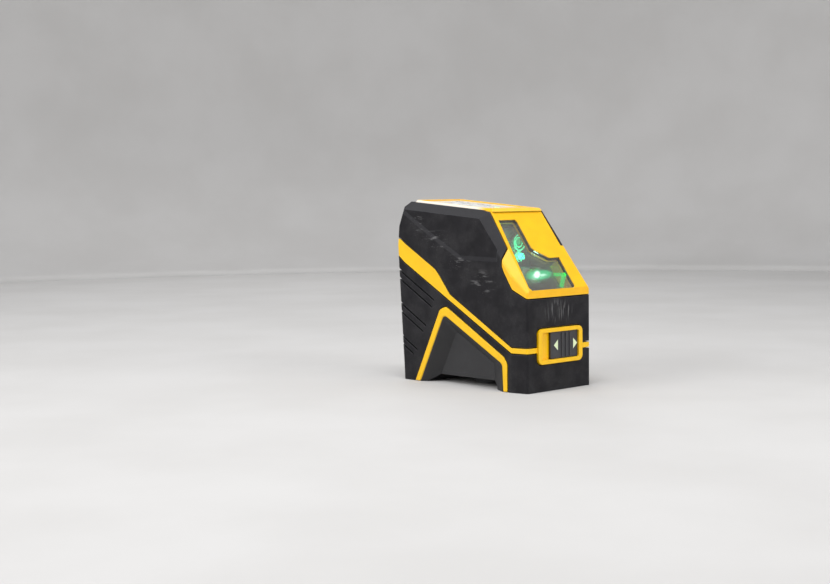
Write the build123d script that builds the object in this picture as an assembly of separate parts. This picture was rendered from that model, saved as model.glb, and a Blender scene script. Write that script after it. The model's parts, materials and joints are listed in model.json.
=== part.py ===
from build123d import *
import math
import os

# Self-levelling cross-line laser level, millimetres, +Z up.
# The origin is under the middle of the base. The window and the lock switch face -Y.

# ---------------------------------------------------------------- outer shape
half_width = 29.5           # flat side walls
front_y = -53.8             # flat front face, behind the switch rim
front_half_width = 27.4     # the front corners are drawn in to this
taper_start_y = -42.9
rear_foot_y = 49.8
rear_waist = (52.4, 42.0)
rear_shoulder = (53.4, 71.0)
rear_crest = (55.0, 80.0)   # the yellow band stands out furthest here
rear_upper_mid = (54.2, 92.5)
rear_upper_end = (51.9, 103.0)
top_rear = (48.8, 110.8)
top_front = (-19.92, 104.94)
window_foot_z = 59.3        # where the sloping window face meets the front face
top_half_width = 22.0
window_half_width_top = 22.4
window_half_width_low = 25.5
window_low = 52.0           # how far down the window face that width is met
window_bevel_side = (-31.9, 81.3)           # a point of the window bevel on the side wall
window_origin = (0, -20.4, 104.3)
bevel_side_y = 12.0
bevel_foot_z = 102.4        # lower edge of the top bevel, half way along the side
rear_corner_radius = 3.0
# The rear wall leans back up to its crest and forwards above it: (y at the foot, y at the top, height between).
lean_low = (50.1, 55.0, 80.0)
lean_high = (64.0, 53.2, 103.0)
rear_corner_foot = (-29.5, 52.1, 95.7)      # a sloping facet takes the upper rear corner off from here up
rear_corner_normal = (-0.735, 0.679, 0.29)
edge_radius = 1.6

skin = 2.0                  # rubber overmould
wall = 2.0                  # hard plastic housing under it
seam = 0.35                 # half of the shadow gap between two outer parts

# ---------------------------------------------------------------- yellow band, arch, pockets
band_upper = [(-42.9, 26.0), (7.8, 54.8), (16.8, 65.9), (20.2, 69.5), (47.3, 84.8), (51.1, 87.4)]
band_lower = [(-42.9, 23.0), (47.3, 73.1), (53.1, 77.4)]
arch_outer = [(38.5, -1.0), (38.5, 0.0), (16.2, 45.2), (11.0, 47.4), (-37.0, 20.3), (-39.6, 16.5), (-39.6, -1.0)]
arch_corner_radius = 4.0
trim_proud = 0.3
trim_depth = 0.8
trim_foot_z = 0.3
# The side pocket's mouth is a triangle on the side wall, and its floor is further in.
pocket_mouth = {"rear": (33.6, 0.0), "apex": (12.7, 41.6), "front": (-34.6, 15.9), "heel": (-35.4, 0.0)}
pocket_floor_x = 22.0
pocket_floor_ridge = (9.5, 31.9)
pocket_floor_heel = (-22.3, 5.5)
pocket_apex_radius = 4.0
pocket_front_radius = 5.0
pocket_lip = 0.35           # the liner's black edge shows this wide inside the yellow trim
belly_z = 4.8               # the belly clears the ground by this between the feet
belly_front_y = -26.5
belly_rear_y = 30.2
belly_half_width = 21.8
belly_mouth_half_width = 26.8

# ---------------------------------------------------------------- grip grooves
groove_starts = [(20.8, 50.7), (23.0, 46.6), (28.1, 34.6), (30.9, 31.0), (36.3, 19.4), (39.6, 16.4)]
groove_slope = 0.56
groove_width = 2.0
groove_depth = 1.5
groove_run = 40.0           # how far back each groove is drawn before the body ends it

# ---------------------------------------------------------------- window and top
frame_thickness = 2.4
ear_outline = [(-33.6, 88.0), (-35.9, 83.5), (-35.9, 72.9), (-37.3, 69.8), (-43.8, 59.8), (-53.0, 54.9),
               (-56.0, 54.3), (-62.0, 54.3), (-62.0, 90.0), (-40.0, 95.0)]
# On the window face, outlines are (x, distance down the slope).
frame_top_outline = [(-21.9, -3.0), (21.3, -3.0), (21.8, 28.0), (-24.0, 28.0)]
glass_outline = [(-19.6, 5.9), (-5.4, 5.9), (-4.4, 7.6), (-4.4, 26.4), (-3.0, 28.4), (6.4, 34.2), (14.9, 34.2),
                 (14.9, 54.4), (13.4, 56.0), (-23.2, 56.0), (-24.7, 53.9)]
raised_outline = [(-4.0, 2.0), (18.0, 2.0), (16.3, 15.0), (15.9, 28.6), (6.9, 33.6), (-2.4, 27.9), (-3.8, 26.0)]
raised_height = 0.8
raised_bevel = 50.0         # degrees its sides lean in
glass_recess = 0.5
glass_thickness = 1.2
gasket_thickness = 0.3
gasket_width = 0.7
ledge_width = 0.9
tunnel_wall = 1.2
ledge_depth = 3.4
tunnel_depth = 9.0
tunnel_span = [(-40, 60), (-40, 50), (9, 50), (9, 36), (40, 30), (40, 60)]
# On the top face, outlines are (x, distance back along the slope).
rim_height = 1.2
rim_taper = 35.0            # degrees its outer sides lean in
rim_outline = [(-21.3, -22.5), (21.3, -22.5), (21.3, 45.6), (18.0, 48.4), (-18.0, 48.4), (-21.3, 45.6)]
panel_outline = [(-18.4, -13.0), (18.4, -13.0), (18.8, 10.0), (18.8, 43.9), (16.6, 45.8), (-16.6, 45.8),
                 (-18.8, 43.9), (-18.8, 10.0)]
panel_top = 0.5             # heights over the top face
panel_bottom = -0.9
button_ys = (10.0, 28.0)
button_radius = 6.0
lamp_y = -4.0
lamp_radius = 1.8
board_top = -5.1
board_thickness = 1.4
board_outline = [(-14.0, -10.0), (14.0, -10.0), (14.0, 41.0), (-14.0, 41.0)]
board_post_x = 11.0
board_post_ys = (-6.0, 38.0)
board_post_radius = 1.8
button_room = 1.6           # round each key, for its flange
button_gap = 0.15
key_height = 0.7            # each key stands this far over the panel
key_foot = -1.6
key_flange = (1.0, -2.6, -1.5)              # how far it spreads, its bottom and its top
key_stem_radius = 1.5
key_stem_bottom = -3.2
switch_body_radius = 2.2
led_radius = 1.2
chip_height = 1.1
lamp_proud = 0.1
fit_gap = 0.05              # round the glass and the keypad panel
window_reach = 30.0         # cutters go this far in from the window face

# ---------------------------------------------------------------- lock switch
switch_z = 26.4
rim_half_width = 19.3
rim_half_height = 10.35
rim_corner = 3.5
switch_rim_y = -55.0
opening_half_width = 16.1
opening_half_height = 8.0
recess_floor_y = -52.4
knob_width = 23.7
knob_half_height = 7.75
knob_face_y = -53.9
knob_x = 3.95               # middle of the knob in the "on" position
lock_travel = 8.0
lock_lift = 2.4
cup_wall = 1.4
cup_corner = 1.5
opening_corner = 1.0
slide_gap = 0.2             # between plastic parts that slide or are screwed together
knob_corner = 0.8
knob_lift = 0.3             # the knob runs this far over the recess floor
grip_width = 1.3
grip_height = 0.5
grip_short = 0.5            # each rib ends this far from the knob's edges
arrow_xs = ((-1, -7.1), (1, 9.8))           # which way it points, and where from the knob's middle
arrow_tip = 1.9
arrow_back = 1.7
arrow_half_height = 3.2
arrow_depth = 0.4
carriage_half_width = 7.5
carriage_half_height = 5.0
carriage_thickness = 1.2
rail_x = (12.0, 16.0)
rail_z = (11.0, 37.0)
rail_rear = 1.5             # how far the rails pass the lever
switch_wall_half_width = 19.5
switch_wall_z = (16.0, 38.0)
switch_wall_rear = 2.0

# ---------------------------------------------------------------- pendulum and gimbal
pivot_y = -8.0
pivot_z = 75.5
ring_outer_radius = 12.5
ring_inner_radius = 9.2
ring_height = 7.0
bracket_inner_x = 15.0
bracket_outer_x = 17.5
bracket_base_z = 9.8
bracket_foot = 1.7          # thickness of its foot
bracket_foot_y = (-22.0, 12.4)
bracket_rear_y = (10.6, 12.4)
bracket_rear_top_z = 36.0
bracket_window = ((-9.0, 9.0), (18.0, 30.0))            # x and z
cheek_outline = [(-17.0, 9.8), (12.4, 9.8), (12.4, 36.0), (-2.0, 82.0), (-14.0, 82.0), (-17.0, 60.0)]
cheek_window = [(-12.5, 16.0), (8.0, 16.0), (8.0, 34.0), (-3.5, 64.0), (-12.5, 64.0)]
ring_pin_x = (9.4, 17.3)
inner_bearing_reach = (9.5, 12.0)           # from the pivot, along Y
body_pin_reach = (2.5, 11.8)
body_pin_hole = 8.0
pin_radius = 1.0
running_gap = 0.03
bearing_outer_radius = 3.0
upper_module_z = 85.8
upper_module_radius = 5.2
upper_module_front = -22.5
upper_module_rear = -1.0
hood_depth = 2.0            # the upper module's front hood stands past its lens
hood_wall = 1.0
upper_lens_radius = 2.9
upper_lens_y = (-20.5, -18.5)
lower_module_z = 66.6
lower_module_radius = 4.2
lower_module_front = -35.0
lower_module_rear = -12.0
beam_hole_radius = 1.4
beam_hole_depth = 1.0
fork_x = (3.0, 3.8)         # the fork that holds the rod lens
fork_reach = 3.4
fork_half_height = 1.8
rod_lens_radius = 1.6
plate_bottom_z = 19.5
plate_thickness = 3.0
plate_half_width = 10.5
plate_y = (-20.0, 5.0)
damper_screw_xs = (-4.0, 4.0)
damper_screw_radius = 0.9
damper_hole_z = 30.0
damper_head_radius = 1.6
damper_head_room = 1.7
damper_head_depth = 1.2
damper_screw_reach = 4.0    # how far it goes into the pendulum's foot
head_gap = 0.1
magnet_xs = (-9.0, 9.0)
magnet_radius = 4.6
magnet_height = 3.0

# ---------------------------------------------------------------- power
cell_radius = 7.25
cell_length = 50.5
cell_x = 7.45
cell_ys = (24.0, 38.9)
cell_z = 14.0
nub_radius = 2.7
nub_height = 1.0
tray_half_width = 16.6
tray_front_y = 15.4
tray_z = (11.4, 66.6)
tray_wall = 1.2
tray_side_wall = 1.4
tray_rear_y = 46.2
tray_lean = (46.0, 0.05)    # its open rear is trimmed along the door: y at its foot, and how far it leans
tray_post_x = 12.0
tray_post_zs = (24.0, 60.0)
tray_post_radius = 2.0
tray_rib_x = (16.4, 25.5)
tray_rib_y = (26.0, 27.4)
tray_rib_z = (46.0, 60.0)
top_strip_half_width = 12.0
top_strip_half_depth = 3.5
bottom_strip_half_width = 4.0
bottom_strip_y = (20.5, 42.4)
board_half_width = 16.0
board_z = (16.0, 92.0)
chip_thickness = 0.6
door_half_width = 17.4
door_top_z = 68.0
hinge_y = 48.2
hinge_z = 9.6
hinge_radius = 2.3
hinge_swing_radius = 3.4    # room under the door for its edge as it swings down
hinge_boss_radius = 3.2
door_gap = 0.3
door_inner_y = 40.0         # the door's block reaches in to here, past the wall
thumb_half_width = 7.0      # the finger notch at the door's top
thumb_radius = 4.0
thumb_y = 55.2
thumb_drop = 5.0
hinge_boss_x = 20.8
hinge_pin_x = 20.3
board_y = (13.2, 14.8)
# Each chip is x, z, width, height.
board_chips = [(-6.0, 70.0, 9.0, 9.0), (6.0, 52.0, 6.0, 8.0), (-8.0, 40.0, 5.0, 4.0), (8.0, 80.0, 7.0, 4.0)]

# ---------------------------------------------------------------- fasteners and base
# Each screw spot is x, y and the top of the post that hangs from the upper housing.
screw_spots = [(21.8, -44.0, 46.0), (21.5, 40.0, 108.0)]
screw_radius = 1.45
screw_head_radius = 2.7
post_foot_z = 14.0
post_radius = 3.2
post_rib_height = 14.0
rib_half = 0.8
screw_bite = 12.0           # depth of the screw's hole in the post
screw_length = 9.0          # how far the screw goes into the post
screw_head_z = (0.7, 2.0)
screw_drive_radius = 1.1
screw_drive_z = (0.6, 1.4)
bracket_screw_radius = 1.3
bracket_head_radius = 1.9
bracket_head_height = 1.0
bracket_screws = [(-12.0, -19.0), (12.0, -19.0), (-12.0, 7.5), (12.0, 7.5)]
boss_z = 0.5
boss_radius = 12.0
insert_radius = 5.5
insert_top_z = 9.6
thread_radius = 3.175       # 1/4-20 tripod thread, as a plain bore at its major diameter
thread_length = 8.1

# ---------------------------------------------------------------- small parts
recess_depth = 0.8
recess_slope = 3.0          # how far its edge slopes in, over its depth
recess_line = [(-31.9, 75.4), (-0.4, 76.1), (21.1, 87.4), (48.0, 102.8)]
stem_half_width = 3.0
stem_half_height = 2.4
grip_xs = (-1.9, 1.6, 5.1)
cam_pin_radius = 1.2
lever_half_width = 13.0
lever_y = (-45.9, -44.1)
lever_gap = 0.15            # round the lever in its rails
lever_foot_z = 12.4
lever_top_z = 33.0
lever_arm_half_width = 3.2
lever_arm_reach = 4.5       # the arm ends this far behind the pivot
lever_arm_thickness = 1.8
track_gap = 0.1
brake_pad_top_z = 16.1
brake_pad_radius = 4.0
brake_pad_hole = 1.5
inner_bearing_radius = 2.2
weight_y = (-15.0, 0.0)
weight_half_width = 11.0
# The casting is a stack of blocks: half width, y range and z range of each.
pendulum_blocks = [
    (9.5, (-19.5, -2.0), (80.2, 94.4)),
    (5.5, (-13.5, -2.5), (60.0, 80.4)),
    (8.0, (-32.0, -4.0), (61.4, 70.9)),
    (7.0, (-15.0, 0.0), (40.0, 61.6)),
    (weight_half_width, weight_y, (24.0, 42.0)),
]
foot_half_width = 6.0
foot_y = (-14.0, -2.0)
foot_top_z = 24.2
counterweight_y = 6.4       # its rear face
counterweight_z = (24.0, 46.0)
clamp_screw_radius = 1.0
clamp_screw_length = 4.0
clamp_socket_depth = 1.4
clamp_socket_radius = 0.45
# Each clamp screw starts on a module's wall: x, y, z.
clamp_screws = [(-5.3, -9.0, 85.8), (5.3, -9.0, 85.8), (-4.3, -24.0, 66.6), (4.3, -24.0, 66.6)]
overlap = 0.5               # pieces of one solid run this far into each other
FAR = 200.0


def polygon(points):
    return make_face(Polyline(*points, close=True))


def side_prism(points, x_from, x_to):
    """A (y, z) outline carried along X."""
    face = polygon(points) if isinstance(points, list) else points
    return Plane.YZ.offset(x_from) * extrude(face, x_to - x_from)


def front_prism(face, y_from, y_to):
    """An (x, z) face carried along Y."""
    return Plane.XZ.offset(-y_to) * extrude(face, y_to - y_from)


def block(x, y, z):
    """A box from three (low, high) pairs."""
    size = [pair[1] - pair[0] for pair in (x, y, z)]
    centre = [(pair[0] + pair[1]) / 2 for pair in (x, y, z)]
    return Pos(*centre) * Box(*size)


def rod(start, end, radius):
    axis = Vector(*end) - Vector(*start)
    return Plane(origin=start, z_dir=axis) * Cylinder(
        radius, axis.length, align=(Align.CENTER, Align.CENTER, Align.MIN)
    )


def beyond(point, normal):
    """Everything on the outer side of a plane."""
    slab = Box(FAR * 2, FAR * 2, FAR, align=(Align.CENTER, Align.CENTER, Align.MIN))
    return Plane(origin=point, z_dir=normal) * slab


def facet(a, b, c, toward):
    """The plane through three points, with its normal on the side of the direction toward."""
    a, b, c = Vector(*a), Vector(*b), Vector(*c)
    normal = (b - a).cross(c - a).normalized()
    if normal.dot(Vector(*toward)) < 0:
        normal = normal * -1
    return a, normal


def mirrored(shape):
    return mirror(shape, about=Plane.YZ)


def grown(points, amount):
    return offset(polygon(points), amount, kind=Kind.INTERSECTION)


def arch_face():
    """The yellow arch's outer edge, as a (y, z) face with its corners rounded."""
    face = polygon(arch_outer)
    return fillet(face.vertices().filter_by(lambda v: v.Y > 1), arch_corner_radius)


# ---------------------------------------------------------------- the outer envelope
top_slope = (top_rear[1] - top_front[1]) / (top_rear[0] - top_front[0])
top_angle = math.degrees(math.atan(top_slope))
window_slope = (top_front[1] - window_foot_z) / (top_front[0] - front_y)
window_angle = math.degrees(math.atan(window_slope))
window_down = Vector(0, -math.cos(math.radians(window_angle)), -math.sin(math.radians(window_angle)))
window_normal = Vector(0, window_down.Z, -window_down.Y)
window_plane = Plane(origin=window_origin, x_dir=(1, 0, 0), z_dir=window_normal)
top_plane = Plane(
    origin=(0, 0, top_front[1] - top_front[0] * top_slope),
    x_dir=(1, 0, 0),
    z_dir=(0, -math.sin(math.radians(top_angle)), math.cos(math.radians(top_angle))),
)


def side_face():
    edges = [
        Line((front_y, 0), (rear_foot_y, 0)),
        ThreePointArc((rear_foot_y, 0), rear_waist, rear_shoulder),
        Line(rear_shoulder, rear_crest),
        ThreePointArc(rear_crest, rear_upper_mid, rear_upper_end),
        Line(rear_upper_end, top_rear),
        Line(top_rear, top_front),
        Line(top_front, (front_y, window_foot_z)),
        Line((front_y, window_foot_z), (front_y, 0)),
    ]
    return make_face(edges)


def side_facets():
    """The planes that shape the -X side: front taper, top bevel and window bevel."""
    foot = Vector(*window_origin) + window_down * window_low
    return [
        facet((-half_width, taper_start_y, 0), (-half_width, taper_start_y, 50),
              (-front_half_width, front_y, 0), (-1, -1, 0)),
        facet((-top_half_width, *top_rear), (-top_half_width, *top_front),
              (-half_width, bevel_side_y, bevel_foot_z), (-1, 0, 1)),
        facet((-window_half_width_top, *window_origin[1:]), (-window_half_width_low, foot.Y, foot.Z),
              (-half_width, *window_bevel_side), (-1, 0, 0)),
        (Vector(rear_corner_foot), Vector(rear_corner_normal).normalized()),
    ]


def leaning_prism(inset, y_base, y_top, height):
    """A plan outline with round rear corners, carried up along the lean of the rear wall."""
    half = half_width - inset
    depth = y_base + FAR / 2 - inset
    outline = Pos(0, y_base - inset - depth / 2) * Rectangle(2 * half, depth)
    corners = outline.vertices().filter_by(lambda v: v.Y > 0)
    outline = fillet(corners, rear_corner_radius - inset / 2)
    lean = (y_top - y_base) / height
    start = -10
    return Pos(0, lean * start, start) * extrude(outline, FAR, dir=(0, lean, 1))


def envelope(inset):
    """The whole outer shape, with every face moved inwards by inset."""
    face = side_face() if inset == 0 else offset(side_face(), -inset, kind=Kind.INTERSECTION)
    half = half_width - inset
    body = Plane.YZ.offset(-half) * extrude(face, 2 * half)
    body = body & leaning_prism(inset, *lean_low)
    body = body & leaning_prism(inset, *lean_high)
    for point, normal in side_facets():
        cut = beyond(point - normal * inset, normal)
        body = body - cut - mirrored(cut)
    return body


def soft_envelope():
    """The envelope with its long edges rounded, as the moulded skin has them."""
    body = envelope(0)
    front_edges = body.edges().filter_by(
        lambda e: abs(e.center().X) > 25 and e.center().Y < 20 and e.center().Z > 1 and e.length > 5
    )
    body = fillet(front_edges, edge_radius)
    rear_edges = body.edges().filter_by(
        lambda e: abs(e.center().X) < 0.1 and e.center().Y > 50 and e.center().Z > 60
    )
    return fillet(rear_edges, edge_radius)


# ---------------------------------------------------------------- hollows under the body
def pocket_facets():
    mouth = {name: (-half_width, *point) for name, point in pocket_mouth.items()}
    ridge = (-pocket_floor_x, *pocket_floor_ridge)
    heel = (-pocket_floor_x, *pocket_floor_heel)
    return [
        facet(mouth["rear"], mouth["apex"], ridge, (0, 1, 1)),
        facet(mouth["apex"], mouth["front"], ridge, (0, -1, 1)),
        facet(mouth["front"], mouth["heel"], heel, (0, -1, 0)),
    ]


def pocket(grow):
    """The hollow inside the arch on the -X side, with each face moved outwards by grow."""
    room = block((-half_width - 10, -pocket_floor_x + grow), (-60, 60), (-20, 60))
    for point, normal in pocket_facets():
        room = room - beyond(point + normal * grow, normal)
    creases = room.edges().filter_by(lambda e: abs(e.tangent_at(0).X) > 0.3 and e.center().Z > 5)
    apex = max(creases, key=lambda e: e.center().Z)
    room = fillet(apex, pocket_apex_radius)
    creases = room.edges().filter_by(
        lambda e: abs(e.tangent_at(0).X) > 0.3 and e.center().Z > 5 and e.center().Y < pocket_floor_heel[0]
    )
    return fillet(creases, pocket_front_radius)


def belly_channel(grow):
    """The low passage across the underside, between the front and the rear foot."""
    spread = belly_mouth_half_width - belly_half_width
    low = belly_mouth_half_width + spread
    outline = [(-low, -belly_z), (-belly_half_width, belly_z), (belly_half_width, belly_z), (low, -belly_z)]
    face = polygon(outline) if grow == 0 else grown(outline, grow)
    return front_prism(face, belly_front_y - grow, belly_rear_y + grow)


def under_hollows(grow):
    side = pocket(grow)
    return side + mirrored(side) + belly_channel(grow)


# ---------------------------------------------------------------- side-view regions
def upper_line(shift=0.0):
    points = [(-70, band_upper[0][1])] + band_upper + [(70, 90.5)]
    return [(y, z + shift) for y, z in points]


def lower_line():
    return [(-70, band_lower[0][1])] + band_lower + [(70, 80.5)]


def region(points, gap=0.0):
    face = polygon(points) if gap == 0 else grown(points, -gap)
    return side_prism(face, -60, 60)


above_band = upper_line() + [(70, 160), (-70, 160)]
below_band = lower_line() + [(70, -30), (-70, -30)]
band = upper_line() + lower_line()[::-1]


def on_window(points, low, high, grow=0.0):
    """A prism standing on the window face, from low to high along its outward normal."""
    flipped = [(x, -s) for x, s in points]
    face = polygon(flipped) if grow == 0 else grown(flipped, grow)
    return window_plane.offset(low) * extrude(face, high - low)


def on_top(points, low, high, grow=0.0):
    face = polygon(points) if grow == 0 else grown(points, grow)
    return top_plane.offset(low) * extrude(face, high - low)


def top_disc(x, y, radius, low, high):
    disc = Pos(x, y) * Circle(radius)
    return top_plane.offset(low) * extrude(disc, high - low)


def rounded_rectangle(half_x, half_z, corner):
    return Pos(0, switch_z) * RectangleRounded(2 * half_x, 2 * half_z, corner)


# ---------------------------------------------------------------- shared solids
outer_soft = soft_envelope()
mid_shape = envelope(skin)
inner_shape = envelope(skin + wall)
hollows = under_hollows(0)
skin_shell = outer_soft - mid_shape - hollows
housing_solid = mid_shape - under_hollows(skin)
cavity = inner_shape - under_hollows(skin + wall)
housing_shell = housing_solid - cavity
pocket_void = pocket(0)
side_layer = (-40, -half_width + skin)
arch_mask = side_prism(arch_face(), *side_layer)
arch_mask_wide = side_prism(offset(arch_face(), 2 * seam, kind=Kind.INTERSECTION), *side_layer)
frame_mask = side_prism(ear_outline, -60, 60) + on_window(frame_top_outline, -4, 4)
frame_mask_wide = side_prism(grown(ear_outline, 2 * seam), -60, 60) + on_window(frame_top_outline, -4, 4, 2 * seam)
rim_mask = on_top(rim_outline, -skin - 1, 3)
rim_mask_wide = on_top(rim_outline, -skin - 1, 3, 2 * seam)
NODES = {}


def node(name, shape):
    NODES[name] = shape


# ---------------------------------------------------------------- rear door
def door_block(gap):
    """The part of the rear wall that the battery door takes, larger by gap."""
    half = door_half_width + gap
    leaf = block((-half, half), (hinge_y, 60), (hinge_z, door_top_z + gap))
    heel = rod((-half, hinge_y, hinge_z), (half, hinge_y, hinge_z), hinge_radius + gap)
    inner_side = block((-half, half), (door_inner_y, hinge_y),
                       (hinge_z + hinge_radius + slide_gap - gap, door_top_z + gap))
    return leaf + heel + inner_side


def hinge_swing():
    half = door_half_width + door_gap
    return rod((-half, hinge_y, hinge_z), (half, hinge_y, hinge_z), hinge_swing_radius)


def hinge_boss_room():
    half = hinge_boss_x + slide_gap
    return rod((-half, hinge_y, hinge_z), (half, hinge_y, hinge_z), hinge_boss_radius + seam)


def grooves():
    """The grip grooves: thin sloping slots cut into the skin, round both rear corners."""
    thin_layer = outer_soft - envelope(groove_depth)
    half = groove_width / 2
    run = groove_run
    rise = run * groove_slope
    slots = []
    for y, z in groove_starts:
        outline = [(y, z - half), (y + half, z + half), (y + run, z + half + rise), (y + run, z - half + rise)]
        slots.append(side_prism(outline, -60, 60))
    return thin_layer & (slots[0] + slots[1:])


def battery_door():
    leaf = (outer_soft - inner_shape) & door_block(0)
    heel = rod((-door_half_width, hinge_y, hinge_z), (door_half_width, hinge_y, hinge_z), hinge_radius)
    pin_hole = rod((-FAR, hinge_y, hinge_z), (FAR, hinge_y, hinge_z), pin_radius + running_gap)
    thumb_z = door_top_z - thumb_drop
    thumb = rod((-thumb_half_width, thumb_y, thumb_z), (thumb_half_width, thumb_y, thumb_z), thumb_radius)
    node("battery_door", leaf + heel - pin_hole - thumb - grooves())


def door_hinge_pin():
    node("door_hinge_pin", rod((-hinge_pin_x, hinge_y, hinge_z), (hinge_pin_x, hinge_y, hinge_z), pin_radius))


# ---------------------------------------------------------------- skins and trims
def lower_overmould():
    soft = skin_shell & region(below_band, 2 * seam)
    walls = arch_mask_wide + pocket(skin)
    soft = soft - walls - mirrored(walls) - belly_channel(skin)
    soft = soft - switch_rim_block(2 * seam) - door_block(door_gap) - grooves() - hinge_swing()
    soft = soft - hinge_boss_room()
    for x, y, _ in screw_spots:
        for side in (-x, x):
            soft = soft - rod((side, y, -1), (side, y, skin + 1), screw_head_radius + 2 * slide_gap)
    node("lower_overmould", soft)


def upper_overmould():
    soft = skin_shell & region(above_band, 2 * seam)
    soft = soft - frame_mask_wide - rim_mask_wide - switch_rim_block(2 * seam)
    node("upper_overmould", soft - side_recess() - mirrored(side_recess()))


def side_recess():
    """The shallow sunk panel high on the -X side, with a sloping lower edge."""
    room = block((-FAR, -half_width + recess_depth), (recess_line[0][0], FAR), (0, FAR))
    previous = recess_line[0]
    for point in recess_line[1:]:
        along = Vector(0, point[0] - previous[0], point[1] - previous[1]).normalized()
        down = Vector(0, along.Z, -along.Y)
        normal = (down + Vector(recess_slope, 0, 0)).normalized()
        start = Vector(-half_width, *previous)
        room = room - beyond(start, normal)
        previous = point
    return room


def arch_trims():
    proud = envelope(-trim_proud)
    strip = (proud - envelope(trim_depth)) & arch_mask - pocket(pocket_lip + seam / 2) - belly_channel(skin)
    strip = strip - block((-60, 60), (-60, 60), (-5, trim_foot_z))
    node("arch_trim_left", strip)
    node("arch_trim_right", mirrored(strip))


def side_pockets():
    shell = (pocket(skin) - pocket_void) & envelope(trim_depth)
    lip = (pocket(pocket_lip) - pocket_void) & envelope(0)
    flange = (envelope(trim_depth) - mid_shape) & arch_mask - pocket_void
    piece = shell + lip + flange - belly_channel(skin)
    node("side_pocket_left", piece)
    node("side_pocket_right", mirrored(piece))


def base_plate():
    plate = (belly_channel(skin) - hollows) & outer_soft
    boss = rod((0, 0, boss_z), (0, 0, belly_z + skin), boss_radius)
    node("base_plate", plate + boss - rod((0, 0, -1), (0, 0, 20), insert_radius))


def tripod_insert():
    insert = rod((0, 0, boss_z), (0, 0, insert_top_z), insert_radius)
    node("tripod_insert", insert - rod((0, 0, -1), (0, 0, boss_z + thread_length), thread_radius))


# ---------------------------------------------------------------- yellow housing
def switch_rim_block(gap):
    face = rounded_rectangle(rim_half_width + gap, rim_half_height + gap, rim_corner)
    return front_prism(face, switch_rim_y - 1, front_y + skin)


def lower_housing():
    shell = housing_shell & (region(upper_line() + [(70, -30), (-70, -30)]) + switch_wall())
    stripe = skin_shell & region(band)
    rim_face = rounded_rectangle(rim_half_width, rim_half_height, rim_corner)
    rim = front_prism(rim_face, switch_rim_y, front_y + skin)
    cup_face = rounded_rectangle(opening_half_width + cup_wall, opening_half_height + cup_wall, cup_corner)
    cup = front_prism(cup_face, front_y + skin - 1, recess_floor_y + skin)
    opening_face = rounded_rectangle(opening_half_width, opening_half_height, opening_corner)
    opening = front_prism(opening_face, switch_rim_y - 2, recess_floor_y)
    slot_x = (knob_x - lock_travel - stem_half_width - slide_gap, knob_x + stem_half_width + slide_gap)
    slot = block(slot_x, (recess_floor_y - 1, front_y + skin + wall + 1),
                 (switch_z - stem_half_height - slide_gap, switch_z + stem_half_height + slide_gap))
    body = shell + stripe + rim + cup + lever_rails()
    body = body - opening - slot - door_block(door_gap) - hinge_swing() + door_bosses()
    body = body - rod((-FAR, hinge_y, hinge_z), (FAR, hinge_y, hinge_z), pin_radius)
    body = body - rod((0, 0, -1), (0, 0, 20), insert_radius)
    for x, y, _ in screw_spots:
        for side in (-x, x):
            body = body + rod((side, y, skin + wall - overlap), (side, y, post_foot_z), post_radius)
            body = body - rod((side, y, -1), (side, y, post_foot_z + 1), screw_radius + slide_gap)
    node("lower_housing", body)


def switch_wall():
    """The stretch of front wall behind the switch, which belongs to the lower housing."""
    return block((-switch_wall_half_width, switch_wall_half_width),
                 (front_y, lever_y[1] + switch_wall_rear), switch_wall_z)


def lever_rails():
    """Two upright rails behind the switch that the lock lever slides in."""
    groove = block((-lever_half_width - lever_gap, lever_half_width + lever_gap),
                   (lever_y[0] - lever_gap, lever_y[1] + lever_gap), (0, FAR))
    rails = None
    for side in (-1, 1):
        xs = sorted((side * rail_x[0], side * rail_x[1]))
        rail = block(xs, (recess_floor_y + skin - overlap, lever_y[1] + rail_rear), rail_z) - groove
        rails = rail if rails is None else rails + rail
    return rails


def door_bosses():
    bosses = None
    for side in (-1, 1):
        start = (side * (door_half_width + door_gap), hinge_y, hinge_z)
        boss = rod(start, (side * hinge_boss_x, hinge_y, hinge_z), hinge_boss_radius) & outer_soft
        bosses = boss if bosses is None else bosses + boss
    return bosses


# ---------------------------------------------------------------- upper housing, window, keypad
def upper_housing():
    shell = (housing_shell & region(above_band)) - switch_wall()
    for x, y, post_top_z in screw_spots:
        for side in (-1, 1):
            post = rod((side * x, y, post_foot_z), (side * x, y, post_top_z), post_radius)
            rib = block(sorted((side * x, side * half_width)), (y - rib_half, y + rib_half),
                        (post_top_z - post_rib_height, post_top_z))
            shell = shell + ((post + rib) & (cavity + shell))
            shell = shell - rod((side * x, y, 0), (side * x, y, post_foot_z + screw_bite), screw_radius)
    for x in (-board_post_x, board_post_x):
        for y in board_post_ys:
            shell = shell + top_disc(x, y, board_post_radius, board_top, -skin - 1)
    for y in button_ys:
        shell = shell - top_disc(0, y, button_radius + button_room, -FAR, 0)
    shell = shell - top_disc(0, lamp_y, lamp_radius + 1.0, -FAR, 0)
    shell = shell - on_window(glass_outline, -window_reach, 1, tunnel_wall)
    node("upper_housing", shell)


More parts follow.
